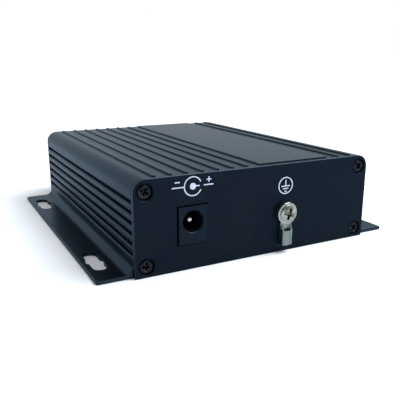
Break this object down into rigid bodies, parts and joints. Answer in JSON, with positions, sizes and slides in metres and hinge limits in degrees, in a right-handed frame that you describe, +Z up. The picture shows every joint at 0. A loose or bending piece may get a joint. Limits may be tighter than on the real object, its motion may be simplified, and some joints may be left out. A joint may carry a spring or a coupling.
{
  "type": "fiber optic video converter",
  "caption": "Black ribbed extruded box with slotted mounting flanges, power socket and earth terminal on one end, video and fibre sockets on the other.",
  "frame": {"origin": "on the underside, at the middle of the extrusion's width and length", "axes": "+X to the right seen from the power panel, +Y along the extrusion to the port panel, +Z up"},
  "size_m": [0.1036, 0.1199, 0.0284],
  "materials": {
    "anodised_extrusion": "extruded aluminium, fine bead-blasted and black anodised, satin",
    "anodised_panel": "aluminium sheet, chamfered and black anodised, semi-matt",
    "black_screw": "steel, black oxide",
    "black_moulding": "injection moulded, fine spark texture",
    "nickel_plate": "bright nickel plate over turned or stamped metal",
    "tin_plate": "tin plate, dull bright",
    "zinc_screw": "cold headed steel, bright zinc plate",
    "circuit_laminate": "glass cloth laminate under green solder mask",
    "white_insulator": "turned fluoropolymer, waxy white",
    "gold_plate": "turned brass, gold flash",
    "white_ceramic": "ground zirconia, smooth",
    "light_green": "cast epoxy, tinted and clear at the edge",
    "light_red": "cast epoxy, tinted and clear at the edge",
    "chip_moulding": "transfer moulded epoxy, matt",
    "ferrite": "pressed ferrite, matt",
    "capacitor_can": "drawn aluminium can"
  },
  "bodies": {
    "root": {"housing": "anodised_extrusion", "power_panel": "anodised_panel", "port_panel": "anodised_panel", "power_panel_screws": "black_screw", "port_panel_screws": "black_screw", "dc_jack_housing": "black_moulding", "dc_jack_pin": "nickel_plate", "dc_jack_spring": "tin_plate", "ground_lug": "tin_plate", "ground_washer": "zinc_screw", "ground_screw": "zinc_screw", "ground_lock_washer": "zinc_screw", "ground_nut": "zinc_screw", "circuit_board": "circuit_laminate", "video_jack_washers": "nickel_plate", "video_jack_nuts": "nickel_plate", "fibre_port_body": "nickel_plate", "fibre_port_sleeve": "white_ceramic", "fibre_port_washer": "nickel_plate", "fibre_port_nut": "nickel_plate", "optical_block": "nickel_plate", "fibre_ferrule": "white_ceramic", "laser_can": "gold_plate", "detector_can": "gold_plate", "status_light_1": "light_green", "status_light_2": "light_green", "status_light_3": "light_red", "status_light_leads": "tin_plate", "processor_chip": "chip_moulding", "crystal_can": "nickel_plate", "power_inductor": "ferrite", "filter_capacitor_1": "capacitor_can", "filter_capacitor_2": "capacitor_can", "filter_capacitor_3": "capacitor_can", "regulator": "chip_moulding", "video_jack_1_shell": "nickel_plate", "video_jack_1_insulator": "white_insulator", "video_jack_1_contact": "gold_plate", "video_chip_1": "chip_moulding", "video_jack_2_shell": "nickel_plate", "video_jack_2_insulator": "white_insulator", "video_jack_2_contact": "gold_plate", "video_chip_2": "chip_moulding", "video_jack_3_shell": "nickel_plate", "video_jack_3_insulator": "white_insulator", "video_jack_3_contact": "gold_plate", "video_chip_3": "chip_moulding", "video_jack_4_shell": "nickel_plate", "video_jack_4_insulator": "white_insulator", "video_jack_4_contact": "gold_plate", "video_chip_4": "chip_moulding"}
  },
  "joints": []
}
